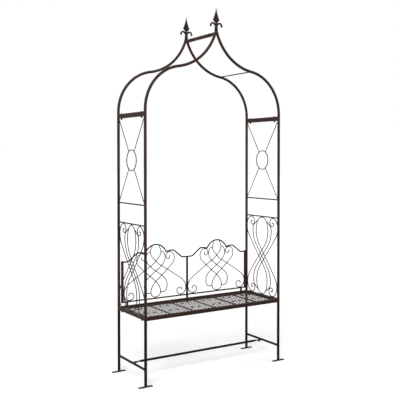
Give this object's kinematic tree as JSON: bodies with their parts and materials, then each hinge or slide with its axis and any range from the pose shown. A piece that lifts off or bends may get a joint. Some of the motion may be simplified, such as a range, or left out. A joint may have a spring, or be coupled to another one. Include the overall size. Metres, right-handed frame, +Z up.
{
  "type": "garden arbor with bench",
  "caption": "Garden arbor with an ogee arch, scrolled side frames, spear finials and a bench with a mesh seat and a scrolled backrest, in dark brown coated steel.",
  "frame": {"origin": "on the ground, midway between the four posts", "axes": "+Z up, +Y from the open front to the backrest, +X to the right of someone who faces the bench from its front"},
  "size_m": [1.172, 0.407, 2.4452],
  "materials": {
    "tube": "satin powder coat, antique brown",
    "rod": "satin powder coat, antique brown",
    "bolts": "dark coated steel"
  },
  "bodies": {
    "root": {"left_front_post": "tube", "left_back_post": "tube", "right_front_post": "tube", "right_back_post": "tube", "left_front_foot": "rod", "left_back_foot": "rod", "right_front_foot": "rod", "right_back_foot": "rod", "left_lower_crossbar": "rod", "right_lower_crossbar": "rod", "left_stretcher_bracket": "rod", "right_stretcher_bracket": "rod", "stretcher": "rod", "left_seat_bearer": "rod", "right_seat_bearer": "rod", "left_arm_bar": "rod", "right_arm_bar": "rod", "left_mid_bar": "rod", "right_mid_bar": "rod", "left_top_rail": "rod", "right_top_rail": "rod", "left_window_ring": "rod", "right_window_ring": "rod", "left_window_diagonals": "rod", "right_window_diagonals": "rod", "left_outer_scrolls": "rod", "right_outer_scrolls": "rod", "left_middle_scrolls": "rod", "right_middle_scrolls": "rod", "left_front_arch_tube": "tube", "left_back_arch_tube": "tube", "right_front_arch_tube": "tube", "right_back_arch_tube": "tube", "left_arch_base_rail": "rod", "right_arch_base_rail": "rod", "left_tie_rod": "rod", "right_tie_rod": "rod", "left_ridge_rail": "rod", "right_ridge_rail": "rod", "front_finial": "tube", "back_finial": "tube", "arch_spigots": "rod", "seat_front_rail": "tube", "seat_back_rail": "tube", "seat_left_rail": "rod", "seat_right_rail": "rod", "seat_cross_bars": "rod", "seat_mesh": "rod", "seat_studs": "rod", "backrest_top_rail": "tube", "backrest_bottom_rail": "tube", "backrest_left_stile": "rod", "backrest_right_stile": "rod", "backrest_centre_stile": "rod", "backrest_left_scrolls": "rod", "backrest_right_scrolls": "rod", "backrest_spacers": "rod", "rail_bolts": "bolts", "short_bolts": "bolts", "nuts": "bolts"}
  },
  "joints": []
}
